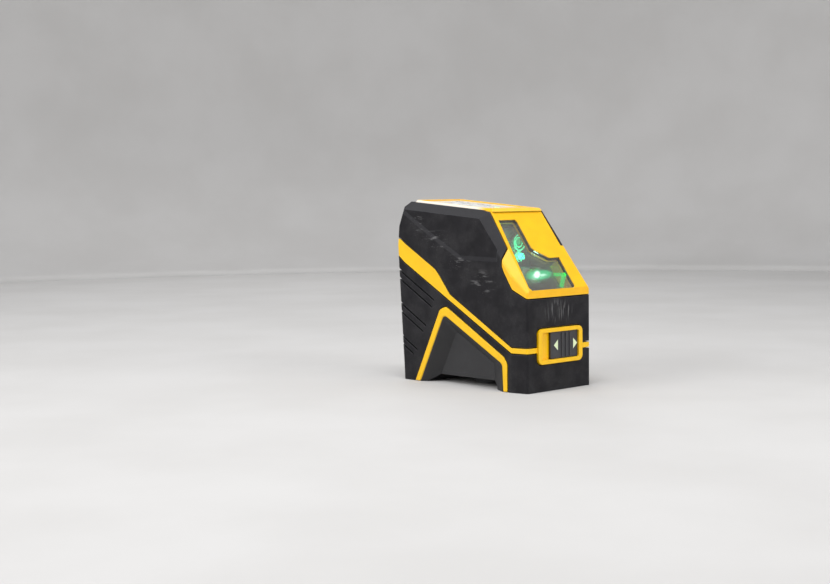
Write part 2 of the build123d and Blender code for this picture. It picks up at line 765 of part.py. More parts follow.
def window_frame():
    plate = skin_shell & (frame_mask + rim_mask)
    raised = on_window(raised_outline, -overlap, 0)
    top = polygon([(x, -s) for x, s in raised_outline])
    raised = raised + window_plane * extrude(top, raised_height, taper=raised_bevel)
    rim = on_top(rim_outline, -overlap, 0) + top_plane * extrude(polygon(rim_outline), rim_height, taper=rim_taper)
    rim = rim & outer_rim_limit()
    ledge = on_window(glass_outline, -ledge_depth, -skin + overlap, tunnel_wall)
    tunnel = on_window(glass_outline, -tunnel_depth, -skin + overlap, tunnel_wall)
    tunnel = tunnel & on_window(tunnel_span, -window_reach, window_reach)
    tunnel = (ledge + tunnel) & mid_shape
    hole = on_window(glass_outline, -window_reach, window_reach, -ledge_width)
    seat = on_window(glass_outline, -glass_recess - glass_thickness - gasket_thickness, window_reach)
    tray = on_top(panel_outline, panel_bottom, FAR)
    body = plate + tunnel + raised + rim - seat - hole - tray
    for y in button_ys:
        body = body - top_disc(0, y, button_radius + button_room, -FAR, FAR)
    node("window_frame", body - top_disc(0, lamp_y, lamp_radius, -FAR, FAR))


def outer_rim_limit():
    """Stops the raised rim where it meets the window face."""
    limit = block((-FAR, FAR), (-FAR, FAR), (0, FAR))
    return limit - beyond(window_plane.origin + window_normal * raised_height, window_normal)


def window_lens():
    low = -glass_recess - glass_thickness
    node("window_lens", on_window(glass_outline, low, -glass_recess, -fit_gap))
    ring = on_window(glass_outline, low - gasket_thickness, low, -fit_gap)
    node("window_gasket", ring - on_window(glass_outline, low - 1, low + 1, -gasket_width))


def keypad():
    panel = on_top(panel_outline, panel_bottom, panel_top, -fit_gap)
    spread, flange_low, flange_high = key_flange
    for number, y in enumerate(button_ys, start=1):
        panel = panel - top_disc(0, y, button_radius + button_gap, -FAR, FAR)
        cap = top_disc(0, y, button_radius, key_foot, panel_top + key_height)
        flange = top_disc(0, y, button_radius + spread, flange_low, flange_high)
        stem = top_disc(0, y, key_stem_radius, key_stem_bottom, flange_low)
        node(f"keypad_button_{number}", cap + flange + stem)
    node("keypad_panel", panel - top_disc(0, lamp_y, lamp_radius, -FAR, FAR))
    lamp_low = board_top + chip_height + lamp_proud
    node("status_lamp", top_disc(0, lamp_y, lamp_radius, lamp_low, panel_top + lamp_proud))
    node("keypad_board", on_top(board_outline, board_top - board_thickness, board_top))
    switches = [top_disc(0, y, switch_body_radius, board_top, board_top + chip_height) for y in button_ys]
    led = top_disc(0, lamp_y, led_radius, board_top, board_top + chip_height)
    node("tact_switches", Compound(children=switches))
    node("status_led", led)


# ---------------------------------------------------------------- lock switch and lever
def lock_switch():
    knob_face = Pos(knob_x, switch_z) * RectangleRounded(knob_width, 2 * knob_half_height, knob_corner)
    knob = front_prism(knob_face, knob_face_y, recess_floor_y - knob_lift)
    rib_length = 2 * (knob_half_height - grip_short)
    for offset_x in grip_xs:
        rib = Pos(knob_x + offset_x, switch_z) * RectangleRounded(grip_width, rib_length, grip_width * 0.45)
        knob = knob + front_prism(rib, knob_face_y - grip_height, knob_face_y + overlap)
    carriage_y = front_y + skin + wall + slide_gap / 2
    stem = block((knob_x - stem_half_width, knob_x + stem_half_width),
                 (recess_floor_y - overlap, carriage_y),
                 (switch_z - stem_half_height, switch_z + stem_half_height))
    arrows = None
    for side, shift in arrow_xs:
        tip, back = knob_x + shift + side * arrow_tip, knob_x + shift - side * arrow_back
        points = [(tip, switch_z), (back, switch_z + arrow_half_height), (back, switch_z - arrow_half_height)]
        arrow = front_prism(polygon(points), knob_face_y, knob_face_y + arrow_depth)
        knob = knob - arrow
        arrows = arrow if arrows is None else arrows + arrow
    node("slider_knob", knob + stem)
    node("slider_arrows", arrows)
    plate = block((knob_x - carriage_half_width, knob_x + carriage_half_width),
                  (carriage_y, carriage_y + carriage_thickness),
                  (switch_z - carriage_half_height, switch_z + carriage_half_height))
    pin = rod((knob_x, carriage_y, switch_z), (knob_x, lever_y[1] + overlap, switch_z), cam_pin_radius)
    node("slider_carriage", plate + pin)


def lock_lever():
    plate = block((-lever_half_width, lever_half_width), lever_y, (lever_foot_z, lever_top_z))
    low_end = (knob_x - lock_travel, switch_z - lock_lift)
    ends = [Pos(*point) * Circle(cam_pin_radius + track_gap) for point in ((knob_x, switch_z), low_end)]
    track = make_hull([*ends[0].edges(), *ends[1].edges()])
    plate = plate - front_prism(track, lever_y[0] - 1, lever_y[1] + 1)
    arm_top_z = lever_foot_z + lever_arm_thickness
    arm = block((-lever_arm_half_width, lever_arm_half_width), (lever_y[0], pivot_y + lever_arm_reach),
                (lever_foot_z, arm_top_z))
    node("lock_lever", plate + arm)
    pad = rod((0, pivot_y, arm_top_z), (0, pivot_y, brake_pad_top_z), brake_pad_radius)
    node("brake_pad", pad - rod((0, pivot_y, 0), (0, pivot_y, FAR), brake_pad_hole))


# ---------------------------------------------------------------- gimbal and pendulum
def gimbal_bracket():
    across = (-bracket_outer_x, bracket_outer_x)
    frame = block(across, bracket_foot_y, (bracket_base_z, bracket_base_z + bracket_foot))
    rear = block(across, bracket_rear_y, (bracket_base_z, bracket_rear_top_z))
    frame = frame + rear - block(bracket_window[0], bracket_rear_y, bracket_window[1])
    for side in (-1, 1):
        xs = sorted((side * bracket_inner_x, side * bracket_outer_x))
        frame = frame + (side_prism(cheek_outline, *xs) - side_prism(cheek_window, *xs))
    bore = rod((-FAR, pivot_y, pivot_z), (FAR, pivot_y, pivot_z), bearing_outer_radius)
    for x, y in bracket_screws:
        frame = frame - rod((x, y, 0), (x, y, pivot_z), bracket_screw_radius)
    node("gimbal_bracket", frame - bore)


def bearing(start, end, outer_radius):
    return rod(start, end, outer_radius) - rod(start, end, pin_radius + running_gap)


def gimbal_ring():
    low, high = pivot_z - ring_height / 2, pivot_z + ring_height / 2
    ring = rod((0, pivot_y, low), (0, pivot_y, high), ring_outer_radius)
    ring = ring - rod((0, pivot_y, low), (0, pivot_y, high), ring_inner_radius)
    ring = ring - rod((-FAR, pivot_y, pivot_z), (FAR, pivot_y, pivot_z), pin_radius)
    ring = ring - rod((0, -FAR, pivot_z), (0, FAR, pivot_z), inner_bearing_radius)
    node("gimbal_ring", ring)
    outer, ring_pins, inner, body_pins = [], [], [], []
    for side in (-1, 1):
        outer.append(bearing((side * bracket_inner_x, pivot_y, pivot_z),
                             (side * bracket_outer_x, pivot_y, pivot_z), bearing_outer_radius))
        start, end = side * ring_pin_x[0], side * ring_pin_x[1]
        ring_pins.append(rod((start, pivot_y, pivot_z), (end, pivot_y, pivot_z), pin_radius))
        near, far = [pivot_y + side * reach for reach in inner_bearing_reach]
        inner.append(bearing((0, near, pivot_z), (0, far, pivot_z), inner_bearing_radius))
        near, far = [pivot_y + side * reach for reach in body_pin_reach]
        body_pins.append(rod((0, near, pivot_z), (0, far, pivot_z), pin_radius))
    node("outer_bearings", Compound(children=outer))
    node("ring_pivot_pins", Compound(children=ring_pins))
    node("inner_bearings", Compound(children=inner))
    node("pendulum_pivot_pins", Compound(children=body_pins))


def pendulum():
    foot_z = plate_bottom_z + plate_thickness
    body = None
    for half, ys, zs in pendulum_blocks + [(foot_half_width, foot_y, (foot_z, foot_top_z))]:
        step = block((-half, half), ys, zs)
        body = step if body is None else body + step
    body = body - rod((0, -FAR, upper_module_z), (0, upper_module_rear, upper_module_z), upper_module_radius)
    body = body - rod((0, -FAR, lower_module_z), (0, lower_module_rear, lower_module_z), lower_module_radius)
    for side in (-1, 1):
        near, far = pivot_y + side * body_pin_reach[0], pivot_y + side * body_pin_hole
        body = body - rod((0, near, pivot_z), (0, far, pivot_z), pin_radius)
    for x, y, z in clamp_screws:
        body = body - rod((x, y, z), (math.copysign(FAR, x), y, z), clamp_screw_radius)
    for x in damper_screw_xs:
        body = body - rod((x, pivot_y, 0), (x, pivot_y, damper_hole_z), damper_screw_radius)
    node("pendulum_body", body)
    weight_x = (-weight_half_width, weight_half_width)
    node("counterweight", block(weight_x, (weight_y[1], counterweight_y), counterweight_z))
    screws = []
    for x, y, z in clamp_screws:
        end = (math.copysign(abs(x) + clamp_screw_length, x), y, z)
        screw = rod((x, y, z), end, clamp_screw_radius)
        socket_start = math.copysign(abs(x) + clamp_screw_length - clamp_socket_depth, x)
        screws.append(screw - rod((socket_start, y, z), end, clamp_socket_radius))
    node("module_clamp_screws", Compound(children=screws))


def laser_modules():
    z = upper_module_z
    upper = rod((0, upper_module_front, z), (0, upper_module_rear, z), upper_module_radius)
    upper = upper - rod((0, -FAR, z), (0, upper_module_front + hood_depth, z), upper_module_radius - hood_wall)
    upper = upper - rod((0, -FAR, z), (0, upper_lens_y[1], z), upper_lens_radius)
    node("vertical_line_module", upper)
    node("vertical_line_lens", rod((0, upper_lens_y[0], z), (0, upper_lens_y[1], z), upper_lens_radius))
    z, front = lower_module_z, lower_module_front
    lower = rod((0, front, z), (0, lower_module_rear, z), lower_module_radius)
    lower = lower - rod((0, -FAR, z), (0, front + beam_hole_depth, z), beam_hole_radius)
    for side in (-1, 1):
        xs = sorted((side * fork_x[0], side * fork_x[1]))
        lower = lower + block(xs, (front - fork_reach, front + overlap), (z - fork_half_height, z + fork_half_height))
    node("horizontal_line_module", lower)
    lens_y = front - rod_lens_radius
    node("horizontal_rod_lens", rod((-fork_x[0], lens_y, z), (fork_x[0], lens_y, z), rod_lens_radius))


def damper():
    low, high = plate_bottom_z, plate_bottom_z + plate_thickness
    plate = block((-plate_half_width, plate_half_width), plate_y, (low, high))
    screws, magnets = [], []
    for x in damper_screw_xs:
        plate = plate - rod((x, pivot_y, 0), (x, pivot_y, damper_hole_z), damper_screw_radius)
        plate = plate - rod((x, pivot_y, low), (x, pivot_y, low + damper_head_depth), damper_head_room)
        head = rod((x, pivot_y, low + head_gap), (x, pivot_y, low + damper_head_depth), damper_head_radius)
        shank_low = low + damper_head_depth - head_gap
        shank = rod((x, pivot_y, shank_low), (x, pivot_y, high + damper_screw_reach), damper_screw_radius)
        screws.append(head + shank)
    node("damper_plate", plate)
    node("damper_screws", Compound(children=screws))
    magnet_low = bracket_base_z + bracket_foot
    for x in magnet_xs:
        magnets.append(rod((x, pivot_y, magnet_low), (x, pivot_y, magnet_low + magnet_height), magnet_radius))
    node("damping_magnets", Compound(children=magnets))


# ---------------------------------------------------------------- power and electronics
def battery_tray():
    outer = block((-tray_half_width, tray_half_width), (tray_front_y, tray_rear_y), tray_z)
    inner_half = tray_half_width - tray_side_wall
    room = block((-inner_half, inner_half), (tray_front_y + tray_wall, FAR),
                 (tray_z[0] + tray_wall, tray_z[1] - tray_wall))
    hinge_room = rod((-FAR, hinge_y, hinge_z), (FAR, hinge_y, hinge_z), hinge_radius + 2 * slide_gap)
    tray = outer - room - hinge_room
    tray = tray - beyond(Vector(0, tray_lean[0], tray_z[0]), Vector(0, 1, -tray_lean[1]).normalized())
    for x in (-tray_post_x, tray_post_x):
        for z in tray_post_zs:
            tray = tray + rod((x, board_y[1], z), (x, tray_front_y + slide_gap, z), tray_post_radius)
    for side in (-1, 1):
        rib = block(sorted((side * tray_rib_x[0], side * tray_rib_x[1])), tray_rib_y, tray_rib_z)
        tray = tray + (rib & cavity)
    node("battery_tray", tray)


def battery_cells():
    cells, top_strips, bottom_strips = [], [], []
    for column, x in enumerate((-cell_x, cell_x)):
        for row, y in enumerate(cell_ys):
            up = (column + row) % 2 == 0
            low, high = cell_z, cell_z + cell_length
            can = (low, high - nub_height) if up else (low + nub_height, high)
            nub = (high - nub_height, high) if up else (low, low + nub_height)
            cells.append(rod((x, y, can[0]), (x, y, can[1]), cell_radius)
                         + rod((x, y, nub[0]), (x, y, nub[1]), nub_radius))
    for y in cell_ys:
        top_strips.append(block((-top_strip_half_width, top_strip_half_width),
                                (y - top_strip_half_depth, y + top_strip_half_depth),
                                (cell_z + cell_length, tray_z[1] - tray_wall)))
    for x in (-cell_x, cell_x):
        bottom_strips.append(block((x - bottom_strip_half_width, x + bottom_strip_half_width), bottom_strip_y,
                                   (tray_z[0] + tray_wall, cell_z)))
    node("battery_cells", Compound(children=cells))
    node("battery_contacts", Compound(children=top_strips + bottom_strips))


def main_board():
    board = block((-board_half_width, board_half_width), board_y, board_z)
    for x, z, wide, tall in board_chips:
        board = board + block((x - wide / 2, x + wide / 2), (board_y[0] - chip_thickness, board_y[1]),
                              (z - tall / 2, z + tall / 2))
    node("main_board", board)


def screws():
    housing = []
    for x, y, _ in screw_spots:
        for side in (-x, x):
            head = rod((side, y, screw_head_z[0]), (side, y, screw_head_z[1]), screw_head_radius)
            drive = rod((side, y, screw_drive_z[0]), (side, y, screw_drive_z[1]), screw_drive_radius)
            shank = rod((side, y, screw_head_z[1]), (side, y, post_foot_z + screw_length), screw_radius)
            housing.append(head - drive + shank)
    node("housing_screws", Compound(children=housing))
    bracket = []
    floor_z = belly_z + skin + wall
    top = bracket_base_z + bracket_foot
    for x, y in bracket_screws:
        head = rod((x, y, top), (x, y, top + bracket_head_height), bracket_head_radius)
        bracket.append(head + rod((x, y, floor_z), (x, y, top + overlap), bracket_screw_radius))
    node("bracket_screws", Compound(children=bracket))


def build():
    for make in (lower_overmould, upper_overmould, arch_trims, side_pockets, base_plate, tripod_insert,
                 lower_housing, upper_housing, window_frame, window_lens, keypad, lock_switch, lock_lever,
                 battery_door, door_hinge_pin, gimbal_bracket, gimbal_ring, pendulum, laser_modules, damper,
                 battery_tray, battery_cells, main_board, screws):
        make()


os.makedirs("parts", exist_ok=True)
build()
for name, shape in NODES.items():
    export_step(shape, f"parts/{name}.step")
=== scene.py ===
"""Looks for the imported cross-line laser level: materials, small details, light and camera. Metres, +Z up."""

import json
import math

import bmesh
import bpy
from mathutils import Matrix, Vector

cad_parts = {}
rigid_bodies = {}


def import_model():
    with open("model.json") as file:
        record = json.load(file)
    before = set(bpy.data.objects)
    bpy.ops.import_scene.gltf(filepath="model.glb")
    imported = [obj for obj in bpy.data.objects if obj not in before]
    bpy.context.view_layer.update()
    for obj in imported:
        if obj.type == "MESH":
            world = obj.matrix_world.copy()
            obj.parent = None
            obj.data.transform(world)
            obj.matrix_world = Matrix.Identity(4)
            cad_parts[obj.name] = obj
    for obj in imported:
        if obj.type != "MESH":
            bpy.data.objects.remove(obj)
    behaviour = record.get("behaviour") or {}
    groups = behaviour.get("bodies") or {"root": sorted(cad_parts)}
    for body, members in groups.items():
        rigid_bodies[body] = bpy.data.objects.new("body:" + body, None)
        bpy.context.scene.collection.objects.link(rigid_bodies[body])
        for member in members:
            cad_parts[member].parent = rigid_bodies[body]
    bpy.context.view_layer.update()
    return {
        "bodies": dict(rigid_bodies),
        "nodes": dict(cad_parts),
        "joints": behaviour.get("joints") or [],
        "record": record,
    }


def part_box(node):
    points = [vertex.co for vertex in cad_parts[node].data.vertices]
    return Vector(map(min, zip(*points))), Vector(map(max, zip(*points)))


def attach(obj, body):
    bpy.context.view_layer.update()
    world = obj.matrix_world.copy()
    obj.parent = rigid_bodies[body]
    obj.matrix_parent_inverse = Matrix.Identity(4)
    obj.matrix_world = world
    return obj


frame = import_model()
nodes = frame["nodes"]
MM = 0.001

# ---------------------------------------------------------------- colours, linear
YELLOW = (1.0, 0.575, 0.0)
# edge wear and painted highlight along the edges of the yellow plastic
YELLOW_EDGE_WEAR_AND_HIGHLIGHT = (1.0, 0.66, 0.10)
# painted light: a lighter copy of the frame's yellow for the raised panel
YELLOW_RAISED_LIT = (1.0, 0.60, 0.045)
YELLOW_FRAME = (1.0, 0.53, 0.002)
SMUDGE_BROWN = (0.62, 0.36, 0.06)
# painted shade in the seams and recesses of the yellow parts
SEAM_SHADE_BROWN = (0.03, 0.012, 0.001)
# painted reflection: near-white laid on the long sides of the top rim
RIM_PAINTED_REFLECTION = (0.86, 0.85, 0.82)
BLACK = (0.0, 0.0, 0.0)
CHARCOAL = (0.0045, 0.0042, 0.0055)
CHARCOAL_LIGHT = (0.013, 0.0122, 0.0155)
# painted top light: rubber faces that lean back are painted lighter
RUBBER_TOP_LIT = (0.021, 0.0205, 0.024)
# painted highlight along the rubber's edges
RUBBER_EDGE_HIGHLIGHT = (0.12, 0.12, 0.135)
SCUFF_PALE = (0.24, 0.235, 0.24)
DUST = (0.12, 0.118, 0.12)
# painted shade in the seams and recesses of the rubber
SEAM_SHADE_BLACK = (0.004, 0.004, 0.004)
GREEN_GLOW = (0.02, 1.0, 0.42)
GREEN_LINE = (0.02, 1.0, 0.13)
HAZE_GREEN = (0.0, 0.50, 0.19)
HAZE_WHITE = (0.80, 1.0, 0.92)
PANE_CLEAR = (0.96, 0.99, 0.97)
PANE_HAZY = (0.90, 0.95, 0.92)
PANE_DUST = (0.60, 0.56, 0.52)
BOARD_DARK = (0.010, 0.10, 0.040)
BOARD_GREEN = (0.016, 0.14, 0.055)
BOARD_TRACK = (0.10, 0.26, 0.10)
JACKET_DARK = (0.012, 0.012, 0.014)
JACKET_COPPER = (0.50, 0.22, 0.08)
LEAD_RED = (0.45, 0.02, 0.015)
LEAD_BLACK = (0.012, 0.012, 0.013)
FLOOR_LIGHT = (0.58, 0.572, 0.566)
FLOOR_DARK = (0.545, 0.536, 0.528)
SKY = (0.95, 0.97, 1.0, 1.0)
LASER_SPILL = (0.04, 1.0, 0.45)

# ---------------------------------------------------------------- places in the frame, millimetres
WINDOW_POINT = Vector((0.0, -20.4, 104.3))
WINDOW_NORMAL = Vector((0.0, -0.803, 0.596))
TOP_HEIGHT = 106.64         # of the sloping top face, above the origin
TOP_ANGLE = math.radians(4.874)
KEY_TOP = 1.2               # height of the key caps over the top face
KEY_PLACES = {"button_front": 10.0, "button_rear": 28.0}
RIGHT_WALL_X = 13.9         # inner wall of the window's tunnel
UPPER_OPTIC = (0.0, -22.5, 85.8)
LOWER_OPTIC = (0.0, -38.9, 66.9)
SWITCH_SCUFFS = ((0.0, -53.8, 46.5), (15.0, 4.0, 9.5))      # centre and reach
INK_HEIGHT = 0.06           # of the marks printed on the keys
DOOR_FACE_Y = 52.1
RIDGE_HEIGHTS = (45.0, 49.0, 53.0)
RIDGE_HALF_LENGTH = 8.0
RIDGE_WIDTH = 1.2
RIDGE_RISE = 1.1
TRACE_RISE = 0.08           # of the beam's marks on the tunnel wall
LEVEL_TRACE = ((-37.2, 66.3), (-46.6, 66.7))                # as (y, z)
LEVEL_TRACE_WIDTH = 2.1
FALLING_TRACE = ((-45.7, 67.2), (-43.4, 59.0))
FALLING_TRACE_WIDTH = 3.2
HAZE_WIDTH = 25.0
HAZE_LEFT_X = -13.0
HAZE_HEIGHT = 7.6
HAZE_DROP = 3.6             # of its lower edge under the rod lens
HAZE_CURVE = 0.002          # how fast its ends bend back, per column squared
OUTER_BEZEL = (4.7, 0.45)   # ring radius and tube radius
INNER_BEZEL = (2.9, 0.35)
BEZEL_STEP = 0.5            # the inner ring sits this far behind the outer one
PRISM_PLACE = (-1.5, -22.9, 78.1)
PRISM_REACH = (3.0, 1.6, 3.0)
PRISM_TURN = 0.5            # radians
LEAD_RADIUS = 0.42
LEAD_SPACING = 1.1
JACKET_SHOULDER = (47.8, 48.2)
RIM_SIDE_X = (19.7, 20.3)
RIM_SIDE_DROP = (6.8, 6.0)  # under the frame's highest point
RIM_SIDE_Y = (-16.0, -6.0)
RAISED_STEP = (0.45, 0.75)  # over the window face

# Where the rubber is rubbed pale on its sides: centre and reach of each patch.
RUBBED_PLACES = (
    ((-29.2, 20.0, 87.0), (3.0, 18.0, 9.0)),
    ((-29.5, -20.0, 62.0), (3.0, 13.0, 11.0)),
    ((-29.5, 36.0, 98.0), (3.0, 9.0, 8.0)),
    ((-29.5, 2.0, 74.0), (3.0, 16.0, 6.0)),
    ((29.5, 6.0, 70.0), (3.0, 18.0, 8.0)),
    ((29.5, 30.0, 95.0), (3.0, 12.0, 9.0)),
)

# ---------------------------------------------------------------- studio, metres and watts
FLOOR_RADIUS = 1.25
WALL_BEND = 0.32
WALL_TOP = 1.1
BEND_STEPS = 8
ROUND_STEPS = 96
FLOOR_DROP = 0.05 * MM      # keeps the floor from flickering with the feet
LAMP_TARGET = (0.0, 0.0, 0.05)
LAMPS = (                   # name, place, size, power
    ("key", (-0.32, -0.22, 1.25), 0.7, 11.0),
    ("front_fill", (0.25, -1.15, 0.55), 0.8, 6.5),
    ("left_side", (-1.1, 0.30, 0.60), 0.9, 7.2),
    ("rear", (0.6, 1.0, 0.8), 0.8, 3.0),
)
SKY_STRENGTH = 0.38
SPILL_POWER = 0.006
SPILL_RADIUS = 0.002
SPILL_PLACE = (-0.003, -0.0290, 0.079)
CAMERA_PLACE = (-0.60396, -0.5837, 0.11389)
CAMERA_ANGLES = (-42.72, 3.98, -0.67)                       # azimuth, elevation and roll, degrees
CAMERA_LENS = 59.5


# ---------------------------------------------------------------- node helpers
class Recipe:
    """One node-based material, with short calls for the nodes it uses."""

    def __init__(self, name):
        self.material = bpy.data.materials.new(name)
        self.material.use_nodes = True
        self.tree = self.material.node_tree
        self.shader = self.tree.nodes["Principled BSDF"]
        self.output = self.tree.nodes["Material Output"]

    def node(self, kind, **settings):
        made = self.tree.nodes.new(kind)
        for key, value in settings.items():
            setattr(made, key, value)
        return made

    def feed(self, socket, value):
        """Sets an input socket from another node's output, a number or a colour."""
        if isinstance(value, bpy.types.NodeSocket):
            self.tree.links.new(value, socket)
        elif isinstance(value, (tuple, list)) and socket.type == "RGBA":
            socket.default_value = (*value[:3], 1.0)
        else:
            socket.default_value = value

    def set(self, **values):
        for key, value in values.items():
            self.feed(self.shader.inputs[key.replace("_", " ")], value)
        return self

    def place(self):
        return self.node("ShaderNodeTexCoord").outputs["Object"]

    def stretched(self, stretch, turn=(0.0, 0.0, 0.0)):
        """Object coordinates in millimetres, scaled on each axis after a turn in degrees."""
        mapping = self.node("ShaderNodeMapping", vector_type="POINT")
        self.feed(mapping.inputs["Vector"], self.place())
        mapping.inputs["Rotation"].default_value = [math.radians(v) for v in turn]
        mapping.inputs["Scale"].default_value = [v / MM for v in stretch]
        return mapping.outputs["Vector"]

    def noise(self, size_mm, detail=3.0, roughness=0.5, stretch=(1.0, 1.0, 1.0),
              turn=(0.0, 0.0, 0.0)):
        made = self.node("ShaderNodeTexNoise")
        self.feed(made.inputs["Vector"], self.stretched([v / size_mm for v in stretch], turn))
        made.inputs["Scale"].default_value = 1.0
        made.inputs["Detail"].default_value = detail
        made.inputs["Roughness"].default_value = roughness
        return made.outputs["Fac"]

    def span(self, value, low, high, to_low=0.0, to_high=1.0):
        """Maps a value from low..high to to_low..to_high, and holds it there."""
        made = self.node("ShaderNodeMapRange", interpolation_type="SMOOTHSTEP")
        self.feed(made.inputs["Value"], value)
        made.inputs["From Min"].default_value = low
        made.inputs["From Max"].default_value = high
        made.inputs["To Min"].default_value = to_low
        made.inputs["To Max"].default_value = to_high
        return made.outputs["Result"]

    def sum(self, operation, first, second=0.0):
        clamped = operation in ("ADD", "SUBTRACT")
        made = self.node("ShaderNodeMath", operation=operation, use_clamp=clamped)
        self.feed(made.inputs[0], first)
        self.feed(made.inputs[1], second)
        return made.outputs["Value"]

    def mix(self, factor, first, second):
        made = self.node("ShaderNodeMix", data_type="RGBA")
        self.feed(made.inputs[0], factor)
        self.feed(made.inputs[6], first)
        self.feed(made.inputs[7], second)
        return made.outputs[2]

    def bump(self, height, distance_mm, strength=1.0, normal=None):
        made = self.node("ShaderNodeBump")
        made.inputs["Distance"].default_value = distance_mm * MM
        made.inputs["Strength"].default_value = strength
        self.feed(made.inputs["Height"], height)
        if normal is not None:
            self.feed(made.inputs["Normal"], normal)
        return made.outputs["Normal"]

    def rounded(self, radius_mm):
        made = self.node("ShaderNodeBevel", samples=6)
        made.inputs["Radius"].default_value = radius_mm * MM
        return made.outputs["Normal"]

    def edges(self, radius_mm):
        """1 along sharp edges and corners, 0 on open faces."""
        dot = self.node("ShaderNodeVectorMath", operation="DOT_PRODUCT")
        self.feed(dot.inputs[0], self.rounded(radius_mm))
        self.feed(dot.inputs[1], self.node("ShaderNodeNewGeometry").outputs["Normal"])
        return self.span(dot.outputs["Value"], 0.80, 0.995, 1.0, 0.0)

    def painted_shade(self, distance_mm, closed=0.15, open_air=0.50):
        """Mask for painted shade: 1 deep in seams, 0 on open faces. The two levels are how much of the sky a
        point sees.
        """
        made = self.node("ShaderNodeAmbientOcclusion", samples=8)
        made.inputs["Distance"].default_value = distance_mm * MM
        return self.span(made.outputs["AO"], closed, open_air, 1.0, 0.0)

    def facing_up(self, low, high):
        """1 where a face leans back towards the light from above; it marks where painted top light goes."""
        axes = self.node("ShaderNodeSeparateXYZ")
        self.feed(axes.inputs[0], self.node("ShaderNodeNewGeometry").outputs["Normal"])
        return self.span(axes.outputs["Z"], low, high)

    def near(self, centre_mm, reach_mm, softness=0.4):
        """1 inside an ellipsoid, fading to 0 at its surface."""
        shift = self.node("ShaderNodeVectorMath", operation="SUBTRACT")
        self.feed(shift.inputs[0], self.place())
        shift.inputs[1].default_value = [v * MM for v in centre_mm]
        scale = self.node("ShaderNodeVectorMath", operation="DIVIDE")
        self.feed(scale.inputs[0], shift.outputs[0])
        scale.inputs[1].default_value = [v * MM for v in reach_mm]
        length = self.node("ShaderNodeVectorMath", operation="LENGTH")
        self.feed(length.inputs[0], scale.outputs[0])
        return self.span(length.outputs["Value"], 1 - softness, 1.0, 1.0, 0.0)


def paint(recipe, *names):
    for name in names:
        slots = nodes[name].data.materials
        slots.clear()
        slots.append(recipe.material)


# ---------------------------------------------------------------- outer materials
def scuffs(recipe):
    """Pale dry marks where the rubber has been rubbed: above the switch, and along the side crease."""
    strokes = recipe.span(recipe.noise(1.0, 2.0, stretch=(0.8, 1.0, 0.09)), 0.50, 0.66)
    above_switch = recipe.near(*SWITCH_SCUFFS, 0.7)
    marks = recipe.sum("MULTIPLY", strokes, above_switch)
    crumbs = recipe.span(recipe.noise(0.9, 4.0, 0.7), 0.62, 0.70)
    streaks = recipe.noise(2.2, 3.0, 0.6, stretch=(1.0, 0.22, 1.0), turn=(28.0, 0.0, 0.0))
    line = recipe.span(streaks, 0.56, 0.72)
    for centre, reach in RUBBED_PLACES:
        patch = recipe.sum("MULTIPLY", recipe.sum("ADD", crumbs, line), recipe.near(centre, reach, 0.8))
        marks = recipe.sum("ADD", marks, patch)
    return marks


def rubber():
    recipe = Recipe("rubber_skin")
    grain = recipe.noise(0.28, 2.0, 0.6)
    cloud = recipe.span(recipe.noise(13.0, 5.0, 0.62), 0.40, 0.66)
    speck = recipe.span(recipe.noise(0.8, 4.0, 0.72), 0.50, 0.72)
    dust = recipe.sum("MULTIPLY", cloud, recipe.sum("ADD", recipe.sum("MULTIPLY", speck, 0.45), 0.18))
    colour = recipe.mix(recipe.noise(5.0, 3.0), CHARCOAL, CHARCOAL_LIGHT)
    colour = recipe.mix(recipe.sum("MULTIPLY", dust, 0.55), colour, DUST)
    # painted top light: faces that lean back are painted lighter
    top_lit_share = recipe.sum("MULTIPLY", recipe.facing_up(0.14, 0.30), 0.50)
    colour = recipe.mix(top_lit_share, colour, RUBBER_TOP_LIT)
    # painted highlight along sharp edges
    colour = recipe.mix(recipe.sum("MULTIPLY", recipe.edges(0.7), 0.40), colour, RUBBER_EDGE_HIGHLIGHT)
    colour = recipe.mix(recipe.sum("MULTIPLY", scuffs(recipe), 0.55), colour, SCUFF_PALE)
    # painted shade: seams and recesses of the rubber darkened by how little sky they see
    colour = recipe.mix(recipe.painted_shade(3.0), colour, SEAM_SHADE_BLACK)
    normal = recipe.bump(grain, 0.035, 0.55, recipe.rounded(0.45))
    recipe.set(Base_Color=colour, Roughness=recipe.span(dust, 0.0, 0.5, 0.50, 0.72), Normal=normal,
               Specular_IOR_Level=0.20)
    return recipe


def rim_reflection_sides(recipe):
    """1 on the long sides of the raised top rim, where a pale painted reflection is laid on."""
    axes = recipe.node("ShaderNodeSeparateXYZ")
    recipe.feed(axes.inputs[0], recipe.place())
    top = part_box("window_frame")[1][2]
    outward = recipe.sum("ABSOLUTE", axes.outputs["X"])
    side = recipe.span(outward, *[v * MM for v in RIM_SIDE_X])
    tall = recipe.span(axes.outputs["Z"], *[top - v * MM for v in RIM_SIDE_DROP])
    behind = recipe.span(axes.outputs["Y"], *[v * MM for v in RIM_SIDE_Y])
    return recipe.sum("MULTIPLY", recipe.sum("MULTIPLY", side, tall), behind)


def raised_panel(recipe):
    """1 on the panel that stands over the window face, which is painted lighter as painted light."""
    dot = recipe.node("ShaderNodeVectorMath", operation="DOT_PRODUCT")
    recipe.feed(dot.inputs[0], recipe.place())
    dot.inputs[1].default_value = WINDOW_NORMAL
    face = WINDOW_POINT.dot(WINDOW_NORMAL) * MM
    return recipe.span(dot.outputs["Value"], *[face + v * MM for v in RAISED_STEP])


